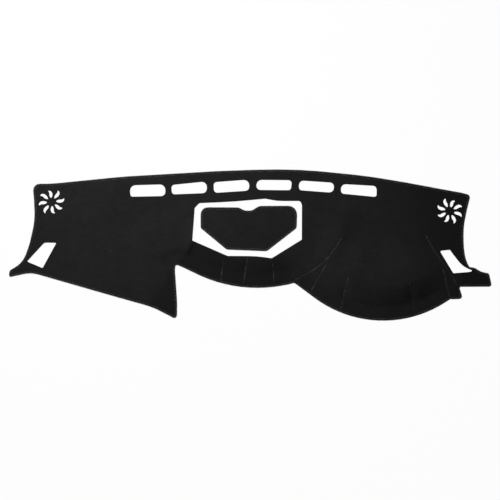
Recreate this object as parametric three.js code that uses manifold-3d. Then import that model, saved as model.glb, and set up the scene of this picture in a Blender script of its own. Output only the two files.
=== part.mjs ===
// A felt dashboard cover mat, laid out flat with its pile up.
// X runs along the windscreen and Y towards it. Z is up from the surface that the mat lies on.
// The origin is the middle of the mat's length and depth, on that surface. All sizes are in millimetres.
// Places are counted from the origin, apart from the insert's, which are counted from the middle of its opening.

import * as THREE from "three";
import { mergeVertices } from "three/addons/utils/BufferGeometryUtils.js";
import Module from "manifold-3d";

const wasm = await Module();
wasm.setup();

// The mat's own size: half its length at the ears, its sides above them and the tip beside the notch
const half_length = 724.5;
const half_body = 653.5;
const right_side_reach = 8;
const notch_tip_depth = 226;

// Felt, and the overlocked yarn along its edges
const felt_thickness = 4;
const yarn_thickness = 1;
const edging_width = 6.5;
const yarn_clearance = 0.3;

// The row of demister slots, which follows the windscreen edge
const slot_count = 6;
const slot_length = 105;
const slot_height = 32;
const slot_web = 22;
const slot_row_middle = 9;
const slot_row_setback = 47;

// Hood over the instruments: a crown that rises from its foot, and a skirt that falls to the front border
const hood_middle = [398.5, 117.5];
const hood_border_radius = 345.6;
const hood_border_angles = [-40, 36];
const hood_foot_radius = 60;
const hood_crown_radius = 240;
const hood_height = 34;
const hood_flank_angles = [-50, -20, 18, 50];

// Fold beside the hood, which runs down to the left flank seam and fades out along it
const fold_line = [[291, 135], [281, 75], [264, 14], [238, -28], [206, -62]];
const fold_height = 12;
const fold_half_width = 33;

// Strap in front of the centre opening, which curves down over the dashboard's lip
const strap_middle = [21, 288];
const strap_border_radius = 418;
const strap_border_angles = [-27, 14];
const strap_foot_radius = 240;
const strap_crown_radius = 334;
const strap_height = 17;
const strap_flank_angles = [-45, -33, 8, 24];

// Shoulder at the strap's left end, which ends at a crease towards the notch
const shoulder_crease = [[-172, 18], [-206, -48]];
const shoulder_reach = 220;
const shoulder_depths = [-85, -20, 20, 140];
const shoulder_height = 9;
const crease_width = 16;

// Sewn seams and darts, and how the felt puckers beside them
const seam_furrow_radius = 1.4;
const dart_depth = 4.5;
const dart_half_width = 15;

// Centre opening, the loose insert that lies in it, and the room around the insert
const opening_left = -173;
const opening_right = 155;
const opening_top = 132;
const opening_bottom = -33;
const insert_room_left = 23;
const insert_room_right = 14;
const insert_room_top = 15;
const insert_room_bottom = 14;

// Pinwheels of slits over the two speakers. The slits are cut by hand, and two of them stop short.
const petal_count = 8;
const petal_scale = 1;
const petal_reaches = [1, 1, 0.87, 1, 1, 1, 0.9, 0.95];
const left_speaker = [57.5 - half_body, 129.5];
const left_pinwheel_turn = 7.5;
const right_speaker = [half_body + right_side_reach - 63.5, 102];
const right_pinwheel_turn = 18.5;

// How finely curves and the felt's relief are cut into facets
const arc_tolerance = 0.6;
const furrow_facets = 4;
const least_step = 0.05;
const relief_cell = 15;
const flat_cell = 130;

const degree = Math.PI / 180;

// A point on a circle, at an angle from straight towards the front, turning towards +X.
function aroundFront([x, y], radius, angle) {
  return [x + radius * Math.sin(angle * degree), y - radius * Math.cos(angle * degree)];
}

// Points at even angles along an arc that bulges towards the front.
function frontArc(middle, radius, [from, to], count) {
  return Array.from({ length: count }, (_, i) =>
    aroundFront(middle, radius, from + ((to - from) * i) / (count - 1)),
  );
}

// Corners are [x, y, radius]. A corner without a radius gets the largest bend that its sides allow.
const windscreen_edge = [
  [-600, 184],
  [-366, 207.5],
  [-265, 212],
  [-160, 219.5],
  [-40, 225],
  [50, 227.4],
  [115, 227.4],
  [175, 225],
  [262, 217],
  [346, 208],
  [395, 200.5],
  [500, 183],
  [580, 167],
  [642, 156.5],
];

// Around the mat from its top left corner.
const mat_corners = [
  [-half_body, 184.5, 20],
  ...windscreen_edge,
  [half_body + right_side_reach, 149.5, 11],
  [half_body - 7.5, 88],
  [half_body - 13.5, 48],
  [half_body - 12.5, -10],
  [half_body - 6.5, -44],
  [half_body + 4.5, -66.5, 8],
  [half_length - 52.5, -66],
  [half_length - 32.5, -80],
  [half_length - 8, -84, 7],
  [half_length + 1.7, -125.5, 8],
  [627.5, -126, 3],
  [639, -162, 9],
  [604, -163.5],
  ...frontArc(hood_middle, hood_border_radius, hood_border_angles, 12).reverse(),
  [131, -113.5, 22],
  ...frontArc(strap_middle, strap_border_radius, strap_border_angles, 7).reverse(),
  [-205, -66],
  [-223, -59.5, 4],
  [-225.5, -72],
  [-221, -130],
  [-217.5, 36 - notch_tip_depth],
  [-220, -notch_tip_depth, 9],
  [-262, 24 - notch_tip_depth],
  [-300, 41 - notch_tip_depth],
  [-380, 63 - notch_tip_depth],
  [-half_body - 1.5, -84],
  [34.5 - half_length, -89.5],
  [-half_length, -98.5, 6],
  [1.5 - half_length, -76, 12],
  [27.5 - half_length, -61.5],
  [44.5 - half_length, -43],
  [-half_body - 14.5, -15],
  [-half_body - 1.5, 32],
  [6 - half_body, 75],
  [6 - half_body, 115],
];

const slot_corners = [
  [[-1, 0, 17], [2, 3, 18], [1, 0, 12], [2, -2, 6]],
  [[-3, -7, 9], [0, 4, 24], [-2, 1, 13], [-1, -3, 8]],
  [[-3, -5, 9], [-1, 3, 19], [-1, 2, 12], [-2, -5, 10]],
  [[-1, -1, 22], [0, -2, 9], [-3, 0, 9], [-2, 1, 12]],
  [[-1, 2, 13], [-1, -5, 12], [-1, -3, 14], [-1, 5, 8]],
  [[-2, 4, 14], [0, -2, 11], [0, -3, 6], [-2, 7.5, 9]],
];

const left_window_corners = [
  [-617.5, 7, 10],
  [-581.5, 6.5, 1.5],
  [-623, -69, 2],
  [-669.5, -49.5, 2],
];

const right_window_corners = [
  [568.5, -17.5, 3],
  [599, -14.5, 1],
  [616, -39],
  [640, -66],
  [668, -77, 2],
  [660, -80.5],
  [609, -84.5, 1.5],
];

const opening_corners = [
  [opening_left + 6.5, opening_top - 21, 3],
  [opening_left + 20, opening_top - 6.5, 5],
  [opening_left + 125, opening_top - 2],
  [opening_right - 110, opening_top + 7, 12],
  [opening_right - 75, opening_top],
  [opening_right - 6, opening_top, 3],
  [opening_right, opening_top - 11, 5],
  [opening_right - 0.5, opening_bottom + 49.5, 1],
  [opening_right - 91, opening_bottom - 6.5, 7],
  [opening_right - 136, opening_bottom],
  [opening_left + 105, opening_bottom + 0.5, 4],
  [opening_left, opening_bottom + 46.5, 1],
];

// The insert lies in the opening and is made about the opening's middle.
const insert_place = [(opening_left + opening_right) / 2, (opening_bottom + opening_top) / 2];
const insert_left = opening_left + insert_room_left - insert_place[0];
const insert_right = opening_right - insert_room_right - insert_place[0];
const insert_top = opening_top - insert_room_top - insert_place[1];
const insert_bottom = opening_bottom + insert_room_bottom - insert_place[1];

const insert_corners = [
  [insert_left + 0.5, insert_top - 3, 22],
  [insert_left + 115, insert_top - 3.5, 24],
  [insert_left + 134, insert_top - 13, 12],
  [insert_left + 154, insert_top - 13, 12],
  [insert_right - 114, insert_top + 1, 22],
  [insert_right + 1, insert_top + 1.5, 27],
  [insert_right - 1, insert_bottom + 69.5, 12],
  [insert_right - 91, insert_bottom - 0.5, 15],
  [insert_left + 79, insert_bottom + 4.5, 16],
  [insert_left + 0.5, insert_bottom + 69.5, 9],
];

// One slit of a pinwheel, with the wheel's middle at 0, 0 and the slit pointing along +X.
const petal_corners = [
  [12.5, -0.5, 1.5],
  [18, 3.8],
  [25, 3.9],
  [31.5, 2.8],
  [36, 4.2],
  [39.4, 7.4, 1],
  [39.2, 1],
  [35.5, -4.2],
  [28, -6.5],
  [19, -4.7],
];

// Seams run from their inner end to the border.
const left_flank_seam = [[273, 23], [252, -12], [223, -47], [196, -69], [165, -88], [132, -106]];
const right_flank_seam = [[527, 29], [547, -10], [567, -38], [586, -64], [602, -87], [623, -125]];
const hood_darts = [
  [[230, -50], [217, -76], [204, -97], [191, -122], [182, -137]],
  [[292, -98], [283, -131], [276, -171], [270, -194]],
  [[473, -108], [482, -143], [491, -192]],
  [[577, -72], [587, -112], [592, -134], [597, -155]],
];
const strap_darts = [
  [[-82, -49], [-88, -105]],
  [[-8, -36], [-21, -114]],
  [[67, -56], [73, -119]],
];

// The corners of an outline as points, with every corner rounded by an arc.
function roundCorners(corners) {
  const points = corners.flatMap(([x, y, wanted = Infinity], i) => {
    const corner = new THREE.Vector2(x, y);
    const back = new THREE.Vector2(...corners.at(i - 1)).sub(corner);
    const ahead = new THREE.Vector2(...corners[(i + 1) % corners.length]).sub(corner);
    const room = Math.min(back.length(), ahead.length()) / 2;
    const half_angle = Math.abs(back.angleTo(ahead)) / 2;
    const radius = Math.min(wanted, room * Math.tan(half_angle));
    if (half_angle > 0.499 * Math.PI) return [corner];
    const centre = back
      .clone()
      .normalize()
      .add(ahead.clone().normalize())
      .setLength(radius / Math.sin(half_angle))
      .add(corner);
    const first = corner
      .clone()
      .addScaledVector(back.normalize(), radius / Math.tan(half_angle))
      .sub(centre);
    const turn = Math.sign(ahead.cross(back)) * (Math.PI - 2 * half_angle);
    const steps = Math.ceil(Math.abs(turn) / (2 * Math.acos(1 - arc_tolerance / Math.max(radius, 1))));
    return Array.from({ length: steps + 1 }, (_, k) =>
      first
        .clone()
        .rotateAround(new THREE.Vector2(), (turn * k) / steps)
        .add(centre),
    );
  });
  return points.filter((point, i) => point.distanceTo(points.at(i - 1)) > least_step);
}

// The same outline a distance further in. Outward corners get tighter and inward ones wider.
function insetCorners(corners, distance) {
  const turning = Math.sign(THREE.ShapeUtils.area(corners.map(([x, y]) => ({ x, y }))));
  return corners.map(([x, y, radius], i) => {
    const corner = new THREE.Vector2(x, y);
    const into = corner.clone().sub(new THREE.Vector2(...corners.at(i - 1))).normalize();
    const out = new THREE.Vector2(...corners[(i + 1) % corners.length]).sub(corner).normalize();
    const outward = turning * into.cross(out) > 0;
    const inward = new THREE.Vector2(-into.y - out.y, into.x + out.x).multiplyScalar(turning);
    const mitre = inward.setLength(distance / Math.sqrt((1 + into.dot(out)) / 2)).add(corner);
    if (radius === undefined) return [mitre.x, mitre.y];
    return [mitre.x, mitre.y, Math.max(radius + (outward ? -distance : distance), 0.5)];
  });
}

// A solid from a closed three.js geometry.
function solidOf(geometry) {
  geometry.deleteAttribute("normal");
  geometry.deleteAttribute("uv");
  const { attributes, index } = mergeVertices(geometry, 1e-4);
  return new wasm.Manifold(
    new wasm.Mesh({
      numProp: 3,
      vertProperties: attributes.position.array,
      triVerts: new Uint32Array(index.array),
    }),
  );
}

// An upright solid over an outline, between two heights.
function prism(corners, bottom, top) {
  const shape = new THREE.Shape(roundCorners(corners));
  const geometry = new THREE.ExtrudeGeometry(shape, { depth: top - bottom, bevelEnabled: false });
  return solidOf(geometry.translate(0, 0, bottom));
}

// How far a point lies from a path, and on which side: positive to the left of its direction.
// along is the place on the path, from 0 at its first point to 1 at its last.
function besidePath(path, x, y) {
  const point = new THREE.Vector2(x, y);
  let nearest = { distance: Infinity };
  path.slice(1).forEach((end, i) => {
    const start = new THREE.Vector2(...path[i]);
    const run = new THREE.Vector2(...end).sub(start);
    const offset = point.clone().sub(start);
    const share = THREE.MathUtils.clamp(offset.dot(run) / run.lengthSq(), 0, 1);
    const distance = offset.clone().addScaledVector(run, -share).length();
    if (distance < nearest.distance)
      nearest = { distance, side: Math.sign(run.cross(offset)), along: (i + share) / (path.length - 1) };
  });
  return nearest;
}

const { smoothstep } = THREE.MathUtils;
const bell = (distance, half_width) => Math.exp(-((distance / half_width) ** 2));

// The border stays flat on the surface under the edging, and one cell of the relief's grid further in.
const flat_border = edging_width + Math.hypot(relief_cell, relief_cell);
const border = roundCorners(mat_corners).map(({ x, y }) => [x, y]);
border.push(border[0]);

// How much of its full height a swell has at a point. Outwards from its middle the swell rises from its foot
// to its crown and falls to the border, and it fades out towards both of its flanks.
function swell([dx, dy], [foot, crown, border_radius], [left_foot, left_top, right_top, right_foot]) {
  const radius = Math.hypot(dx, dy);
  const angle = Math.atan2(dx, -dy) / degree;
  return (
    smoothstep(radius, foot, crown) *
    (1 - smoothstep(radius, crown, border_radius - flat_border)) *
    smoothstep(angle, left_foot, left_top) *
    (1 - smoothstep(angle, right_top, right_foot))
  );
}

// The felt's height off the surface: the hood and the strap with their darts, the fold and the shoulder.
function relief(x, y) {
  const hood_radii = [hood_foot_radius, hood_crown_radius, hood_border_radius];
  const hood = swell([x - hood_middle[0], y - hood_middle[1]], hood_radii, hood_flank_angles);

  const strap_radii = [strap_foot_radius, strap_crown_radius, strap_border_radius];
  const strap = swell([x - strap_middle[0], y - strap_middle[1]], strap_radii, strap_flank_angles);

  const pucker = (darts) =>
    Math.max(
      ...darts.map((dart) => {
        const { distance, along } = besidePath(dart, x, y);
        return bell(distance, dart_half_width) * Math.min(1, 3 * along);
      }),
    );

  const beside = besidePath(fold_line, x, y);
  const fold = bell(beside.distance, fold_half_width) * Math.sin(Math.PI * beside.along) ** 0.6;

  const crease = besidePath(shoulder_crease, x, y);
  const [shoulder_front, shoulder_low, shoulder_high, shoulder_rear] = shoulder_depths;
  const shoulder =
    smoothstep(x, shoulder_crease[0][0] - shoulder_reach, shoulder_crease[0][0]) *
    smoothstep(y, shoulder_front, shoulder_low) *
    (1 - smoothstep(y, shoulder_high, shoulder_rear)) *
    (1 - smoothstep(crease.side * crease.distance, 0, crease_width));

  const height =
    hood * hood_height -
    Math.min(1, 3 * hood) * dart_depth * pucker(hood_darts) +
    strap * strap_height -
    Math.min(1, 3 * strap) * dart_depth * pucker(strap_darts) +
    fold * fold_height +
    shoulder * shoulder_height;
  const inside = besidePath(border, x, y).distance;
  return Math.max(0, height) * smoothstep(inside, flat_border, 2 * flat_border);
}

// Grid lines from one end to the other: close together across the relief and far apart elsewhere.
function gridLines(from, relief_from, relief_to, to) {
  const stretch = (start, end, cell) => {
    const steps = Math.max(1, Math.round((end - start) / cell));
    return Array.from({ length: steps }, (_, i) => start + ((end - start) * i) / steps);
  };
  return [
    ...stretch(from, relief_from, flat_cell),
    ...stretch(relief_from, relief_to, relief_cell),
    ...stretch(relief_to, to, flat_cell),
    to,
  ];
}

// A layer over the whole mat that follows its relief, between two heights above it.
function layer(bottom, top) {
  const { min, max } = new THREE.Box2()
    .setFromPoints(border.map(([x, y]) => new THREE.Vector2(x, y)))
    .expandByScalar(relief_cell);
  const hood_half_width = hood_border_radius * Math.sin(hood_flank_angles[3] * degree);
  const relief_left = shoulder_crease[0][0] - shoulder_reach;
  const columns = gridLines(min.x, relief_left, hood_middle[0] + hood_half_width, max.x);
  const rows = gridLines(min.y, min.y + 1, shoulder_depths[3], max.y);
  const geometry = new THREE.BoxGeometry(1, 1, top - bottom, columns.length - 1, rows.length - 1, 1);
  const position = geometry.attributes.position;
  for (let i = 0; i < position.count; i += 1) {
    const x = columns[Math.round((position.getX(i) + 0.5) * (columns.length - 1))];
    const y = rows[Math.round((position.getY(i) + 0.5) * (rows.length - 1))];
    position.setXYZ(i, x, y, position.getZ(i) + (bottom + top) / 2 + relief(x, y));
  }
  return solidOf(geometry);
}

// A half-round furrow along a seam, sunk into the felt's upper side and open above it.
function furrow(seam) {
  const line = new THREE.SplineCurve(seam.map(([x, y]) => new THREE.Vector2(x, y)));
  const steps = Math.ceil(line.getLength() / relief_cell);
  const geometry = new THREE.BoxGeometry(1, 2 * seam_furrow_radius, 1, steps, furrow_facets, 1);
  const position = geometry.attributes.position;
  for (let i = 0; i < position.count; i += 1) {
    const along = position.getX(i) + 0.5;
    const offset = position.getY(i);
    const left = line.getTangentAt(along).rotateAround(new THREE.Vector2(), 90 * degree);
    const { x, y } = line.getPointAt(along).addScaledVector(left, offset);
    const depth = Math.sqrt(Math.max(0, seam_furrow_radius ** 2 - offset ** 2));
    const height = position.getZ(i) > 0 ? felt_thickness : -depth;
    position.setXYZ(i, x, y, relief(x, y) + felt_thickness + height);
  }
  return solidOf(geometry);
}

// The yarn along an outline: a wall around the felt's edge and a lip on top of it.
function edging(corners) {
  const lip_bottom = felt_thickness + yarn_clearance;
  const lip_top = lip_bottom + yarn_thickness;
  return prism(corners, 0, lip_top)
    .subtract(prism(insetCorners(corners, edging_width), -1, lip_top + 1))
    .subtract(prism(insetCorners(corners, yarn_thickness), -1, lip_bottom));
}

// What the yarn leaves of an outline for the felt.
function feltCorners(corners) {
  return insetCorners(corners, yarn_thickness + yarn_clearance);
}

// The windscreen edge's distance from the origin at a place along the mat.
function windscreenEdge(x) {
  const next = Math.max(1, windscreen_edge.findIndex((corner) => corner[0] > x));
  const [[x0, y0], [x1, y1]] = windscreen_edge.slice(next - 1, next + 1);
  return THREE.MathUtils.mapLinear(x, x0, x1, y0, y1);
}

// The demister slots, each cut by hand, so each corner lies a little off the even row.
function slotOutline(corner_offsets, i) {
  const x = slot_row_middle + (i - (slot_count - 1) / 2) * (slot_length + slot_web);
  const y = windscreenEdge(x) - slot_row_setback;
  const signs = [[-1, 1], [1, 1], [1, -1], [-1, -1]];
  return corner_offsets.map(([dx, dy, radius], k) => [
    x + (signs[k][0] * slot_length) / 2 + dx,
    y + (signs[k][1] * slot_height) / 2 + dy,
    radius,
  ]);
}

// A pinwheel's slits. The right-hand wheel is a mirror image of the left one.
function pinwheel([x, y], turn, hand) {
  return Array.from({ length: petal_count }, (_, i) =>
    petal_corners.map(([along, across, radius]) => {
      const corner = new THREE.Vector2(along * petal_reaches[i], across)
        .multiplyScalar(petal_scale)
        .rotateAround(new THREE.Vector2(), (turn + (i * 360) / petal_count) * degree);
      return [x + hand * corner.x, y + corner.y, radius];
    }),
  );
}

const cut_outs = [
  ...slot_corners.slice(0, slot_count).map(slotOutline),
  left_window_corners,
  right_window_corners,
  opening_corners,
  ...pinwheel(left_speaker, left_pinwheel_turn, 1),
  ...pinwheel(right_speaker, right_pinwheel_turn, -1),
];
const highest = hood_height + fold_height + strap_height + shoulder_height + 2 * felt_thickness;
const through = [-1, highest];

let felt = layer(0, felt_thickness).intersect(prism(feltCorners(mat_corners), ...through));
for (const outline of cut_outs) felt = felt.subtract(prism(outline, ...through));
for (const seam of [left_flank_seam, right_flank_seam, ...hood_darts, ...strap_darts])
  felt = felt.subtract(furrow(seam));

const insert_felt = prism(feltCorners(insert_corners), 0, felt_thickness);

const felt_material = new THREE.MeshStandardMaterial({ color: 0x1c1c1d, roughness: 0.98, metalness: 0 });
const yarn_material = new THREE.MeshStandardMaterial({ color: 0x101011, roughness: 0.9, metalness: 0 });

function meshOf(name, solid, material) {
  const { vertProperties, triVerts } = solid.getMesh();
  const geometry = new THREE.BufferGeometry();
  geometry.setAttribute("position", new THREE.BufferAttribute(vertProperties, 3));
  geometry.setIndex(new THREE.BufferAttribute(triVerts, 1));
  geometry.computeVertexNormals();
  const mesh = new THREE.Mesh(geometry, material);
  mesh.name = name;
  return mesh;
}

const insert = new THREE.Group();
insert.position.set(...insert_place, 0);
insert.add(
  meshOf("centre_insert", insert_felt, felt_material),
  meshOf("insert_edging", edging(insert_corners), yarn_material),
);

const mat = new THREE.Group();
mat.add(
  meshOf("felt_mat", felt, felt_material),
  meshOf("mat_edging", edging(mat_corners), yarn_material),
  insert,
);

export default mat;
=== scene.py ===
import bpy
import numpy as np
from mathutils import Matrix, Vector
from mathutils.geometry import delaunay_2d_cdt


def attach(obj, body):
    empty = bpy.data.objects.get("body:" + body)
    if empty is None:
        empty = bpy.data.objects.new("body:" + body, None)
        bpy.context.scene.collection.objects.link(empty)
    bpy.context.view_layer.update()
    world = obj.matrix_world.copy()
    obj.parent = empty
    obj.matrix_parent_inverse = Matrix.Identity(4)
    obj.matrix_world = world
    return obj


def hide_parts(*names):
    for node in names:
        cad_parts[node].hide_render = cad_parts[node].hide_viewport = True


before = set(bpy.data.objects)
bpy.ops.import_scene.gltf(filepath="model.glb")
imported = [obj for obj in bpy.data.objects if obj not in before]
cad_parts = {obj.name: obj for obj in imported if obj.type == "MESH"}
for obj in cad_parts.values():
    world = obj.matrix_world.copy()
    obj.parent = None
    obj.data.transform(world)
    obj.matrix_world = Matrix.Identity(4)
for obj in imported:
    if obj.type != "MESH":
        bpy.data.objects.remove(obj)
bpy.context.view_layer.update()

# The mat: one sheet of black needled felt, 4 mm thick, with a short brushed pile.
# It is cut to the dashboard's outline, with slots for the air vents and slits over the speakers.
# Sewn flank seams and darts make the hood for the instruments and the strap's lip stand up.

felt_thickness = 0.004
felt_rounding = 0.0012
ring_step = 0.0014
smallest_cut = 0.012
pile_side_cell = 0.0045
underside_cell = 0.012

hood_middle = np.array([0.3985, 0.1175])
hood_radii = [0.060, 0.240, 0.3456]
hood_flank_angles = [-50, -20, 18, 50]
hood_height = 0.034
strap_middle = np.array([0.021, 0.288])
strap_radii = [0.240, 0.334, 0.418]
strap_flank_angles = [-45, -33, 8, 24]
strap_height = 0.017
dart_depth, dart_half_width = 0.0045, 0.015
fold_line = np.array([[0.291, 0.135], [0.281, 0.075], [0.264, 0.014], [0.238, -0.028], [0.206, -0.062]])
fold_height, fold_half_width = 0.012, 0.033
shoulder_crease = np.array([[-0.172, 0.018], [-0.206, -0.048]])
shoulder_reach, shoulder_height, crease_width = 0.220, 0.009, 0.016
shoulder_depths = [-0.085, -0.020, 0.020, 0.140]
flat_border = 0.0277

left_flank_seam = [
    [0.273, 0.023], [0.252, -0.012], [0.223, -0.047], [0.196, -0.069], [0.165, -0.088], [0.132, -0.106]
]
right_flank_seam = [
    [0.527, 0.029], [0.547, -0.010], [0.567, -0.038], [0.586, -0.064], [0.602, -0.087], [0.623, -0.125]
]
hood_darts = [
    [[0.230, -0.050], [0.217, -0.076], [0.204, -0.097], [0.191, -0.122], [0.182, -0.137]],
    [[0.292, -0.098], [0.283, -0.131], [0.276, -0.171], [0.270, -0.194]],
    [[0.473, -0.108], [0.482, -0.143], [0.491, -0.192]],
    [[0.577, -0.072], [0.587, -0.112], [0.592, -0.134], [0.597, -0.155]],
]
strap_darts = [
    [[-0.082, -0.049], [-0.088, -0.105]],
    [[-0.008, -0.036], [-0.021, -0.114]],
    [[0.067, -0.056], [0.073, -0.119]],
]
seams = [np.array(seam) for seam in [left_flank_seam, right_flank_seam, *hood_darts, *strap_darts]]
furrow_depth, furrow_half_width = 0.0014, 0.0013
furrow_rows = [-0.0036, -0.0019, -0.0009, 0, 0.0009, 0.0019, 0.0036]
lap_height, lap_width = 0.0030, 0.030

# Painted shade: where and how strongly the felt's colour is painted darker, on the strap, along the hood's
# border, beside the right flank seam and towards both ends.
strap_shade_radii, strap_shade_angles, strap_shade_share = [0.305, 0.335], [-37, -33, 8, 22], 0.9
hood_shade_radii, hood_shade_corner, hood_shade_share = [0.295, 0.325], [0.15, -0.06], 0.4
flank_shade_reach, flank_shade_run, flank_shade_share = [0.015, 0.045], [0.5, 0.85], 0.5
right_end_shade = [0.40, 0.66]
left_end_shade, left_end_shade_share = [0.56, 0.70], 0.45


def underside_rings(node):
    """The outlines of a CAD node's underside, as closed rings of x, y points with the material on their left.

    Corners that share a place count as one. An edge that only one of the triangles that face down
    has lies on an outline, and each such edge leads on to the one that starts where it ends.
    A ring smaller than the smallest cut only bounds a sliver at a furrow's edge.
    """
    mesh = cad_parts[node].data
    corners = np.empty(len(mesh.vertices) * 3)
    mesh.vertices.foreach_get("co", corners)
    triangles = np.empty(len(mesh.polygons) * 3, int)
    mesh.polygons.foreach_get("vertices", triangles)
    points, merged = np.unique(np.round(corners.reshape(-1, 3), 6), axis=0, return_inverse=True)
    triangles = merged.ravel()[triangles].reshape(-1, 3)
    first, second, third = points[triangles.T]
    normals = np.cross(second - first, third - first)
    down = triangles[normals[:, 2] < -0.5 * np.linalg.norm(normals, axis=1)]
    edges = np.vstack([down[:, [1, 0]], down[:, [2, 1]], down[:, [0, 2]]])
    met = np.isin(edges @ [1, len(points)], edges @ [len(points), 1])
    onward = dict(edges[~met].tolist())
    rings = []
    while onward:
        ring = [next(iter(onward))]
        while ring[-1] in onward:
            ring.append(onward.pop(ring[-1]))
        rings.append(points[ring[:-1], :2])
    return [ring for ring in rings if np.ptp(ring, axis=0).min() > smallest_cut]


def even_ring(ring, step):
    """A ring's points at even steps. Averaging each with its neighbours eases the corners a little."""
    closed = np.vstack([ring, ring[:1]])
    run = np.append(0, np.cumsum(np.linalg.norm(np.diff(closed, axis=0), axis=1)))
    places = np.linspace(0, run[-1], max(12, round(run[-1] / step)), endpoint=False)
    points = np.column_stack([np.interp(places, run, closed[:, axis]) for axis in (0, 1)])
    return (np.roll(points, 1, 0) + 2 * points + np.roll(points, -1, 0)) / 4


def inward(ring):
    """Unit vectors from a ring's points into the material on its left.

    Each is the chord over two steps, turned by a quarter.
    """
    along = np.roll(ring, -1, 0) - np.roll(ring, 1, 0)
    left = np.column_stack([-along[:, 1], along[:, 0]])
    return left / np.linalg.norm(left, axis=1, keepdims=True)


def even_path(corners, step):
    """A smooth open path through corner points, at even steps.

    Between each two corners runs a Catmull-Rom cubic.
    """
    ends = np.vstack([2 * corners[0] - corners[1], corners, 2 * corners[-1] - corners[-2]])
    share = np.linspace(0, 1, 24, endpoint=False)[:, None, None]
    before, start, end, after = (ends[i : len(ends) - 3 + i] for i in range(4))
    curve = start + share * ((end - before) / 2 + share * (
        before - 2.5 * start + 2 * end - after / 2 + share * (1.5 * (start - end) + (after - before) / 2)
    ))
    curve = np.vstack([curve.transpose(1, 0, 2).reshape(-1, corners.shape[1]), corners[-1:]])
    run = np.append(0, np.cumsum(np.linalg.norm(np.diff(curve, axis=0), axis=1)))
    places = np.linspace(0, run[-1], round(run[-1] / step) + 1)
    return np.column_stack([np.interp(places, run, curve[:, axis]) for axis in range(corners.shape[1])])


def path_left(path):
    """Unit vectors to the left of an open path at its points."""
    along = np.gradient(path, axis=0)
    left = np.column_stack([-along[:, 1], along[:, 0]])
    return left / np.linalg.norm(left, axis=1, keepdims=True)


def smooth_step(value, low, high):
    """0 below low, 1 above high, and the cubic 3 s squared less 2 s cubed between them."""
    share = np.clip((value - low) / (high - low), 0, 1)
    return share**2 * (3 - 2 * share)


def bell(distance, half_width):
    """1 at a distance of 0, falling off as the exponential of minus the square."""
    return np.exp(-((distance / half_width) ** 2))


def beside(path, points):
    """How far points lie from a path, on which side, and how far along it, from 0 to 1.

    The side is positive to the path's left.
    Each point is set square onto every stretch of the path, and the nearest foot counts.
    """
    start, run = path[:-1], np.diff(path, axis=0)
    offset = points[:, None] - start
    share = np.clip((offset * run).sum(2) / (run**2).sum(1), 0, 1)
    distance = np.linalg.norm(offset - share[..., None] * run, axis=2)
    nearest = distance.argmin(1)
    row = np.arange(len(points))
    offset, run = offset[row, nearest], run[nearest]
    side = np.sign(run[:, 0] * offset[:, 1] - run[:, 1] * offset[:, 0])
    return distance[row, nearest], side, (nearest + share[row, nearest]) / (len(path) - 1)


def within(ring, points):
    """Whether points lie inside a ring.

    A ray towards +X from such a point crosses the ring an odd number of times.
    """
    x, y = points[:, :1], points[:, 1:]
    (x0, y0), (x1, y1) = ring.T, np.roll(ring, -1, 0).T
    straddles = (y0 > y) != (y1 > y)
    crossing = x0 + (y - y0) * (x1 - x0) / np.where(y1 == y0, 1, y1 - y0)
    return (straddles & (crossing > x)).sum(1) % 2 == 1


def swell(offset, radii, flank_angles):
    """How much of its full height a swell has at offsets from its middle, from 0 to 1.

    Outwards it rises from its foot to its crown and falls to the border. It fades out towards its flanks.
    """
    foot, crown, border = radii
    left_foot, left_top, right_top, right_foot = flank_angles
    radius = np.hypot(*offset.T)
    angle = np.degrees(np.arctan2(offset[:, 0], -offset[:, 1]))
    outward = smooth_step(radius, foot, crown) * (1 - smooth_step(radius, crown, border - flat_border))
    return outward * smooth_step(angle, left_foot, left_top) * (1 - smooth_step(angle, right_top, right_foot))


def pucker(darts, points):
    """How far darts draw the felt in, from 0 to 1: the deepest bell beside them, growing from each point."""
    drawn = []
    for dart in darts:
        distance, _, along = beside(dart, points)
        drawn.append(bell(distance, dart_half_width) * np.minimum(1, 3 * along))
    return np.max(drawn, 0)


def relief(points):
    """The felt's height off the surface: the hood, the strap, the fold beside the hood and the shoulder.

    Darts draw the hood and the strap in. The fold is a bell across its line, and the shoulder stops at its
    crease at the strap's left end. All of it dies out towards the border.
    """
    hood = swell(points - hood_middle, hood_radii, hood_flank_angles)
    height = hood * hood_height - np.minimum(1, 3 * hood) * dart_depth * pucker(seams[2:6], points)
    strap = swell(points - strap_middle, strap_radii, strap_flank_angles)
    height += strap * strap_height - np.minimum(1, 3 * strap) * dart_depth * pucker(seams[6:], points)
    distance, _, along = beside(fold_line, points)
    height += fold_height * bell(distance, fold_half_width) * np.sin(np.pi * along) ** 0.6
    distance, side, _ = beside(shoulder_crease, points)
    (x, y), crease_x = points.T, shoulder_crease[0, 0]
    front, low, high, rear = shoulder_depths
    shoulder = smooth_step(x, crease_x - shoulder_reach, crease_x) * smooth_step(y, front, low)
    shoulder = shoulder * (1 - smooth_step(y, high, rear))
    height += shoulder_height * shoulder * (1 - smooth_step(side * distance, 0, crease_width))
    border = beside(np.vstack([mat_outline, mat_outline[:1]]), points)[0]
    return np.maximum(0, height) * smooth_step(border, flat_border, 2 * flat_border)


def pile_side(points):
    """The height of the felt's upper side: the relief and the thickness, with furrows along the seams.

    On the right flank the hood's flap laps over the strip beside it.
    """
    height = relief(points) + felt_thickness
    for seam in seams:
        height -= furrow_depth * bell(beside(seam, points)[0], furrow_half_width)
    distance, side, along = beside(seams[1], points)
    over = (side < 0) * (1 - smooth_step(distance, 0, lap_width)) * smooth_step(along, 0.2, 0.6)
    return height + lap_height * over


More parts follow.
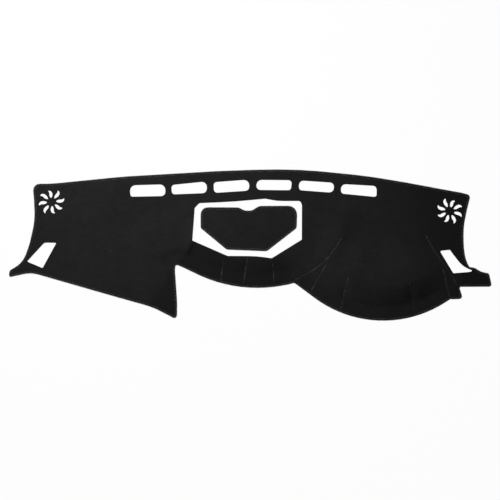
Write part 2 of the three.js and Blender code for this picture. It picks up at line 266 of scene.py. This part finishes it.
def painted_shade_share(points):
    """How much shade is painted into the felt's colour at points, from 0 to 1.

    The shade is painted on the strap, along the hood's border, beside the right flank seam and towards both
    ends.
    """
    (x, y), offset = points.T, points - strap_middle
    radius, angle = np.hypot(*offset.T), np.degrees(np.arctan2(offset[:, 0], -offset[:, 1]))
    left_foot, left_top, right_top, right_foot = strap_shade_angles
    strap = smooth_step(radius, *strap_shade_radii) * (y < strap_middle[1])
    strap = strap * smooth_step(angle, left_foot, left_top) * (1 - smooth_step(angle, right_top, right_foot))
    distance, side, along = beside(seams[1], points)
    flank = smooth_step(along, np.where(side > 0, 0, flank_shade_run[0]), flank_shade_run[1])
    flank = flank * (1 - smooth_step(distance, *flank_shade_reach))
    hood_edge = smooth_step(np.hypot(*(points - hood_middle).T), *hood_shade_radii)
    hood_edge = hood_edge * (x > hood_shade_corner[0]) * (y < hood_shade_corner[1])
    return np.max([
        strap_shade_share * strap,
        flank_shade_share * flank,
        hood_shade_share * hood_edge,
        left_end_shade_share * smooth_step(-x, *left_end_shade),
        smooth_step(x + 0.5 * y, *right_end_shade),
    ], 0)


def mesh_piece(name, points, faces, material, smooth=True):
    """A piece from arrays of points and faces, with its object at the origin."""
    mesh = bpy.data.meshes.new(name)
    mesh.from_pydata(points.tolist(), [], [face for group in faces for face in group.tolist()])
    mesh.polygons.foreach_set("use_smooth", np.full(len(mesh.polygons), smooth))
    mesh.materials.append(material)
    piece = bpy.data.objects.new(name, mesh)
    bpy.context.collection.objects.link(piece)
    return piece


def filled(rings, paths, cell):
    """Triangles over the material between rings: a staggered lattice, with closer rows beside paths.

    Returns x, y points, the rings' own first and in order, and the triangles, which face up.
    """
    low, high = rings[0].min(0), rings[0].max(0)
    x, y = np.meshgrid(np.arange(low[0], high[0], cell), np.arange(low[1], high[1], cell * 0.866))
    x = x + cell / 2 * (np.arange(len(x)) % 2)[:, None]
    lattice = np.column_stack([x.ravel(), y.ravel()])
    rows = []
    for path in paths:
        lattice = lattice[beside(path, lattice)[0] > furrow_rows[-1] + cell / 2]
        middle = even_path(path, ring_step)
        rows += [middle + offset * path_left(middle) for offset in furrow_rows]
    inner = np.vstack([*rows, lattice])
    for ring in rings:
        coarse = np.vstack([ring[::3], ring[:1]])
        near = np.all((inner > ring.min(0) - cell) & (inner < ring.max(0) + cell), axis=1)
        touching = np.zeros(len(inner), bool)
        touching[near] = beside(coarse, inner[near])[0] < 0.45 * cell
        inside = within(coarse, inner)
        inner = inner[~touching & (inside if ring is rings[0] else ~inside)]
    counts = [len(ring) for ring in rings]
    starts = np.cumsum([0, *counts[:-1]])
    edges = [
        np.column_stack([np.arange(count), np.roll(np.arange(count), -1)]) + start
        for count, start in zip(counts, starts)
    ]
    given = np.vstack([*rings, inner])
    found = delaunay_2d_cdt(given.tolist(), np.vstack(edges).tolist(), [], 1, 1e-7)
    triangles = np.array([source[0] for source in found[3]])[np.array(found[2])]
    for ring in rings[1:]:
        triangles = triangles[~within(ring, given[triangles].mean(1))]
    return given, triangles


def felt_sheet(name, outlines, paths, upper, lower, pile_and_painted_shade, material):
    """A closed sheet of felt between two heights, with rounded cut edges and painted shade on its points.

    A quarter circle is carried along each outline, from the upper side, inset by the rounding, to the wall.
    """
    rings = [even_ring(outline, ring_step) for outline in outlines]
    rings.sort(key=lambda ring: -np.ptp(ring[:, 0]))
    normals = [inward(ring) for ring in rings]
    turns = np.radians([90, 60, 30, 0])
    inset = [ring + felt_rounding * normal for ring, normal in zip(rings, normals)]
    top, top_faces = filled(inset, paths, pile_side_cell)
    bottom, bottom_faces = filled(rings, [], underside_cell)
    border, ways = np.vstack(rings), np.vstack(normals)
    heights = upper(border)
    walls = [
        np.column_stack([
            border + felt_rounding * (1 - np.cos(turn)) * ways,
            heights - felt_rounding * (1 - np.sin(turn)),
        ])
        for turn in turns[1:]
    ]
    points = np.vstack([
        np.column_stack([top, upper(top)]),
        *walls,
        np.column_stack([bottom, lower(bottom)]),
    ])
    onward = np.concatenate([np.roll(np.arange(len(ring)), -1) - np.arange(len(ring)) for ring in rings])
    here = np.arange(len(border))
    levels = [0, *(len(top) + k * len(border) for k in range(len(walls) + 1))]
    strips = [
        np.column_stack([above + here, below + here, below + here + onward, above + here + onward])
        for above, below in zip(levels, levels[1:])
    ]
    faces = [top_faces, *strips, bottom_faces[:, ::-1] + levels[-1]]
    sheet = mesh_piece(name, points, faces, material)
    # The point attribute holds painted shade: how far the felt's colour is painted darker at each point.
    sheet.data.attributes.new("pile_and_painted_shade", "FLOAT", "POINT").data.foreach_set("value", pile_and_painted_shade(points[:, :2]))
    return sheet


class Strand:
    """One output socket of a material's nodes. Arithmetic on it adds Math nodes, and takes numbers too."""

    def __init__(self, material, socket):
        self.material, self.socket = material, socket

    def math(self, operation, first, second):
        return add_node(self.material, "ShaderNodeMath", {"operation": operation}, {0: first, 1: second})

    def __add__(self, other):
        return self.math("ADD", self, other)

    def __sub__(self, other):
        return self.math("SUBTRACT", self, other)

    def __rsub__(self, other):
        return self.math("SUBTRACT", other, self)

    def __mul__(self, other):
        return self.math("MULTIPLY", self, other)

    def between(self, low, high):
        """0 at low and 1 at high, clamped, with a smooth step between."""
        settings = {"interpolation_type": "SMOOTHSTEP"}
        inputs = {"Value": self, "From Min": low, "From Max": high}
        return add_node(self.material, "ShaderNodeMapRange", settings, inputs)


def add_node(material, kind, settings, inputs, output=0):
    """Adds a node: its settings first, then its sockets' values or links. Returns one of its outputs."""
    node = material.node_tree.nodes.new(kind)
    for name, value in settings.items():
        setattr(node, name, value)
    for name, value in inputs.items():
        if isinstance(value, Strand):
            material.node_tree.links.new(value.socket, node.inputs[name])
        else:
            node.inputs[name].default_value = value
    return Strand(material, node.outputs[output])


def cloth_material(name):
    """An empty node material and its Principled shader."""
    material = bpy.data.materials.new(name)
    material.use_nodes = True
    return material, material.node_tree.nodes["Principled BSDF"]


def blend_colour(material, share, first, second):
    """A colour between two others, by a share from 0 to 1."""
    return add_node(material, "ShaderNodeMix", {"data_type": "RGBA"}, {0: share, 6: first, 7: second}, 2)


felt_dark = (0.0060, 0.0060, 0.0062, 1)
felt_light = (0.0140, 0.0140, 0.0143, 1)
# The next colour is painted shade: the felt is blended towards it where shade is painted.
felt_painted_shade = (0.0036, 0.0036, 0.0038, 1)
lint_grey = (0.085, 0.085, 0.083, 1)

felt, felt_shader = cloth_material("brushed_black_felt")
place = add_node(felt, "ShaderNodeTexCoord", {}, {}, "Object")
brushed = add_node(felt, "ShaderNodeMapping", {}, {"Vector": place, "Scale": (1, 0.6, 1)})
clouds = add_node(felt, "ShaderNodeTexNoise", {}, {"Vector": place, "Scale": 7.0, "Detail": 2.0})
mottle = add_node(felt, "ShaderNodeTexNoise", {}, {"Vector": place, "Scale": 42.0, "Detail": 2.0})
tufts = add_node(felt, "ShaderNodeTexNoise", {}, {"Vector": brushed, "Scale": 260.0, "Detail": 4.0})
pile = add_node(felt, "ShaderNodeTexNoise", {}, {"Vector": brushed, "Scale": 1500.0, "Detail": 3.0})
flecks = add_node(felt, "ShaderNodeTexVoronoi", {}, {"Vector": place, "Scale": 42.0}, "Distance")
strewn = add_node(felt, "ShaderNodeTexNoise", {}, {"Vector": place, "Scale": 31.0, "Detail": 0.0})
tone = (clouds - 0.5) * 0.9 + (mottle - 0.5) * 0.7 + (tufts - 0.5) * 1.4 + (pile - 0.5) * 0.8 + 0.5
lint = (1 - flecks.between(0.025, 0.060)) * strewn.between(0.57, 0.60)
# Painted shade: the point attribute blends the felt's colour towards a darker one, on the strap, along the
# hood's border, beside the right flank seam and towards both ends.
painted_shade = add_node(felt, "ShaderNodeAttribute", {"attribute_name": "pile_and_painted_shade"}, {}, "Fac")
shade = blend_colour(felt, painted_shade * 0.75, blend_colour(felt, tone, felt_dark, felt_light), felt_painted_shade)
shade = blend_colour(felt, lint, shade, lint_grey)
felt.node_tree.links.new(shade.socket, felt_shader.inputs["Base Color"])
relief_of_pile = {"Height": pile * 0.6 + tufts, "Distance": 0.0012, "Strength": 0.7}
pile_and_painted_shade = add_node(felt, "ShaderNodeBump", {}, relief_of_pile)
felt.node_tree.links.new(pile_and_painted_shade.socket, felt_shader.inputs["Normal"])
felt_shader.inputs["Roughness"].default_value = 0.95
felt_shader.inputs["Specular IOR Level"].default_value = 0.15
felt_shader.inputs["Sheen Weight"].default_value = 0.06
felt_shader.inputs["Sheen Roughness"].default_value = 0.6

mat_outline = max(underside_rings("mat_edging"), key=lambda ring: np.ptp(ring[:, 0]))
mat_felt = felt_sheet("felt_sheet", underside_rings("felt_mat"), seams, pile_side, relief, painted_shade_share, felt)
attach(mat_felt, "root")
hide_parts("felt_mat")

# The insert: a loose piece of the same felt that lies in the centre opening, with a gap all round it.


def lying_flat(points):
    """Nothing anywhere: the piece lies flat on the surface, and no shade is painted on it."""
    return np.zeros(len(points))


def flat_pile_side(points):
    """The felt's thickness, with slow shallow waves: two crossed sines of a quarter millimetre."""
    return felt_thickness + 0.00025 * np.sin(points @ [41, 23]) * np.sin(points @ [-19, 57])


insert_felt = felt_sheet(
    "insert_sheet", underside_rings("centre_insert"), [], flat_pile_side, lying_flat, lying_flat, felt
)
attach(insert_felt, "root")
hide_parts("centre_insert")

# The overlocked edges: black yarn looped over the felt's raw edge by a sewing machine, loop beside loop.
# It runs all round the mat and all round the insert, and hides the cut under a dense rounded rim.

loop_pitch = 0.0019
yarn_radius = 0.00058
loop_reach = 0.0060
loop_slant = 0.0016


def inset_ring(ring, distance):
    """A ring moved into its material, its points eased after the move so that none cross at tight bends."""
    moved = ring + distance * inward(ring)
    for _ in range(4):
        moved = (np.roll(moved, 1, 0) + 2 * moved + np.roll(moved, -1, 0)) / 4
    return moved


def yarn_tubes(lines, radius, sides):
    """Points and faces of many like tubes of yarn. lines is an array of tubes by points by x, y, z.

    Around each point of a line, a circle stands square to the line's direction, and tapers at both ends.
    """
    along = np.gradient(lines, axis=1)
    along /= np.linalg.norm(along, axis=2, keepdims=True)
    across = np.cross(along, np.broadcast_to([0.31, 0.17, 0.93], along.shape))
    across /= np.linalg.norm(across, axis=2, keepdims=True)
    upright = np.cross(across, along)
    angles = np.linspace(0, 2 * np.pi, sides, endpoint=False)[:, None]
    taper = np.ones(lines.shape[1])
    taper[[0, -1]] = 0.35
    circle = np.cos(angles) * across[:, :, None] + np.sin(angles) * upright[:, :, None]
    points = lines[:, :, None] + radius * taper[:, None, None] * circle
    count, length = lines.shape[:2]
    index = np.arange(count * length * sides).reshape(count, length, sides)
    nearer, further = index[:, :-1], index[:, 1:]
    quads = np.stack([nearer, np.roll(nearer, -1, 2), np.roll(further, -1, 2), further], axis=-1)
    return points.reshape(-1, 3), [quads.reshape(-1, 4), index[:, 0, ::-1], index[:, -1]]


yarn_dark = (0.0060, 0.0060, 0.0064, 1)
yarn_light = (0.0560, 0.0560, 0.0570, 1)

yarn, yarn_shader = cloth_material("black_overlock_yarn")
place = add_node(yarn, "ShaderNodeTexCoord", {}, {}, "Object")
fibres = add_node(yarn, "ShaderNodeTexNoise", {}, {"Vector": place, "Scale": 1900.0, "Detail": 3.0})
lengths = add_node(yarn, "ShaderNodeTexNoise", {}, {"Vector": place, "Scale": 45.0, "Detail": 2.0})
tone = (fibres - 0.5) * 1.2 + (lengths - 0.5) * 0.8 + 0.4
shade = blend_colour(yarn, tone, yarn_dark, yarn_light)
yarn.node_tree.links.new(shade.socket, yarn_shader.inputs["Base Color"])
ply = add_node(yarn, "ShaderNodeBump", {}, {"Height": fibres, "Distance": 0.0004, "Strength": 0.6})
yarn.node_tree.links.new(ply.socket, yarn_shader.inputs["Normal"])
yarn_shader.inputs["Roughness"].default_value = 0.72
yarn_shader.inputs["Specular IOR Level"].default_value = 0.35
yarn_shader.inputs["Sheen Weight"].default_value = 0.1


def overlock(name, outline, surface):
    """Loops of yarn round an outline. Each starts on the pile, crosses the edge and turns under the felt.

    A loop is a curve through places given by their distance in from the outline and their height.
    It slants along the edge, so that the loops lie like leaning stitches.
    """
    ring = even_ring(outline, loop_pitch)
    top = felt_thickness + yarn_radius
    section = np.array([
        [loop_reach, top - 0.7 * yarn_radius],
        [0.66 * loop_reach, top + 0.35 * yarn_radius],
        [0.33 * loop_reach, top + 0.35 * yarn_radius],
        [0.0016, top + 0.1 * yarn_radius],
        [1.2 * yarn_radius, 0.78 * felt_thickness],
        [1.02 * yarn_radius, 0.40 * felt_thickness],
        [2.6 * yarn_radius, 1.1 * yarn_radius],
    ])
    lean = loop_slant * np.linspace(0.5, -0.5, len(section))
    normals = inward(ring)
    tangents = np.column_stack([normals[:, 1], -normals[:, 0]])
    flat = ring[:, None] + section[:, :1] * normals[:, None] + lean[:, None] * tangents[:, None]
    lines = np.dstack([flat, np.broadcast_to(section[:, 1], flat.shape[:2])])
    points, faces = yarn_tubes(lines, yarn_radius, 5)
    rim = mesh_piece(name, points, faces, yarn)
    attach(rim, "root")
    return rim


mat_rim = overlock("mat_overlock", mat_outline, pile_side)
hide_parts("mat_edging")
insert_outline = max(underside_rings("insert_edging"), key=lambda ring: np.ptp(ring[:, 0]))
insert_rim = overlock("insert_overlock", insert_outline, flat_pile_side)
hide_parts("insert_edging")

# The needle lines: the straight stitches that hold the overlock's loops, a little inside the edge.
# Their thread is a shade lighter than the yarn, and sinks into the pile at each end of a stitch.

needle_stitch = 0.0034
needle_radius = 0.00045
needle_inset = 0.0064

thread_grey = (0.130, 0.130, 0.128, 1)
thread_dark = (0.020, 0.020, 0.020, 1)

thread, thread_shader = cloth_material("dark_grey_thread")
place = add_node(thread, "ShaderNodeTexCoord", {}, {}, "Object")
# The thread's colour is painted lighter in patches, as painted highlights where the thread catches the light.
painted_glints = add_node(thread, "ShaderNodeTexNoise", {}, {"Vector": place, "Scale": 60.0, "Detail": 3.0})
strands = add_node(thread, "ShaderNodeTexNoise", {}, {"Vector": place, "Scale": 2600.0, "Detail": 2.0})
shade = blend_colour(thread, (painted_glints - 0.5) * 3.4 + (strands - 0.5) * 0.8 + 0.35, thread_dark, thread_grey)
thread.node_tree.links.new(shade.socket, thread_shader.inputs["Base Color"])
thread_shader.inputs["Roughness"].default_value = 0.6
thread_shader.inputs["Specular IOR Level"].default_value = 0.4
thread_shader.inputs["Sheen Weight"].default_value = 0.15


def stitches(starts, ends, surface, radius, rise):
    """Short arches of thread from starts to ends over a surface: a sine's rise, sunk in at both ends."""
    share = np.linspace(0, 1, 6)[:, None]
    flat = starts[:, None] * (1 - share) + ends[:, None] * share
    arch = rise * np.sin(np.pi * share[:, 0]) - 0.4 * radius
    heights = surface(flat.reshape(-1, 2)).reshape(flat.shape[:2]) + arch
    return yarn_tubes(np.dstack([flat, heights]), radius, 5)


def needle_line(name, outline, surface):
    """Stitches along an outline, each from one step of the inset ring to just short of the next."""
    ring = inset_ring(even_ring(outline, needle_stitch), needle_inset)
    points, faces = stitches(
        ring, ring + 0.86 * (np.roll(ring, -1, 0) - ring), surface, needle_radius, 1.6 * needle_radius
    )
    line = mesh_piece(name, points, faces, thread)
    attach(line, "root")
    return line


mat_needle_line = needle_line("mat_needle_line", mat_outline, pile_side)
insert_needle_line = needle_line("insert_needle_line", insert_outline, flat_pile_side)

# The sewn seams: two long flank seams and the darts of the hood and the strap.
# Each is closed by a zigzag of fine thread that crosses the furrow between the two edges.
# One dart's thread has sunk into the pile and looks as dark as the yarn.

zigzag_pitch = 0.0022
zigzag_reach = 0.0016
seam_thread_radius = 0.0004


def zigzag(name, path, material):
    """Stitches to and fro across a seam, each from one side of the path to the other, a step further on."""
    line = even_path(path, zigzag_pitch)
    sides = zigzag_reach * np.where(np.arange(len(line)) % 2, 1, -1)[:, None]
    corners = line + sides * path_left(line)
    points, faces = stitches(corners[:-1], corners[1:], pile_side, seam_thread_radius, 0.0007)
    seam = mesh_piece(name, points, faces, material)
    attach(seam, "root")
    return seam


seam_names = ["left_flank", "right_flank"] + [f"hood_dart_{n}" for n in (1, 2, 3, 4)]
seam_names += [f"strap_dart_{n}" for n in (1, 2, 3)]
sunk_seam = "hood_dart_3"
seam_threads = [
    zigzag(name + "_seam", path, yarn if name == sunk_seam else thread)
    for name, path in zip(seam_names, seams)
]

# The studio: a white floor that the mat lies on, soft light from the upper left, and a long lens above.
# The floor shows as white to the camera, and keeps part of the mat's soft shadow.

photo_width = 1.5
photo_middle = (-0.00075, -0.01485)
camera_height = 7.0
key_place = (-0.70, 0.95, 1.30)

floor_paint, floor_shader = cloth_material("white_floor")
floor_shader.inputs["Base Color"].default_value = (0.9, 0.9, 0.9, 1)
floor_shader.inputs["Roughness"].default_value = 0.9
rays = floor_paint.node_tree.nodes.new("ShaderNodeLightPath")
seen = Strand(floor_paint, rays.outputs["Is Camera Ray"])
seen = seen.math("MAXIMUM", seen, Strand(floor_paint, rays.outputs["Is Glossy Ray"]))
seen = seen.math("MAXIMUM", seen, Strand(floor_paint, rays.outputs["Is Transmission Ray"]))
white = add_node(floor_paint, "ShaderNodeEmission", {}, {"Color": (1, 1, 1, 1), "Strength": 1.0})
mixed = add_node(
    floor_paint,
    "ShaderNodeMixShader",
    {},
    {0: seen * 0.965, 1: Strand(floor_paint, floor_shader.outputs["BSDF"]), 2: white},
)
output = floor_paint.node_tree.nodes["Material Output"]
floor_paint.node_tree.links.new(mixed.socket, output.inputs["Surface"])
floor = mesh_piece(
    "floor",
    np.array([[-40, -40, -0.0004], [40, -40, -0.0004], [40, 40, -0.0004], [-40, 40, -0.0004]]),
    [np.array([[0, 1, 2, 3]])],
    floor_paint,
)

world = bpy.data.worlds.new("studio")
bpy.context.scene.world = world
world.use_nodes = True
sky = world.node_tree.nodes["Background"]
sky.inputs["Color"].default_value = (1, 1, 1, 1)
sky.inputs["Strength"].default_value = 0.14

key = bpy.data.lights.new("soft_key", "AREA")
key.shape = "DISK"
key.size = 0.8
key.energy = 30
key_lamp = bpy.data.objects.new("soft_key", key)
key_lamp.location = key_place
key_lamp.rotation_euler = (-Vector(key_place)).to_track_quat("-Z", "Y").to_euler()
bpy.context.collection.objects.link(key_lamp)

lens = bpy.data.cameras.new("camera")
lens.sensor_width = 36
lens.lens = lens.sensor_width * camera_height / photo_width
lens.clip_end = 100
camera = bpy.data.objects.new("camera", lens)
camera.location = (*photo_middle, camera_height)
bpy.context.collection.objects.link(camera)
bpy.context.scene.camera = camera
bpy.context.scene.view_settings.view_transform = "Standard"
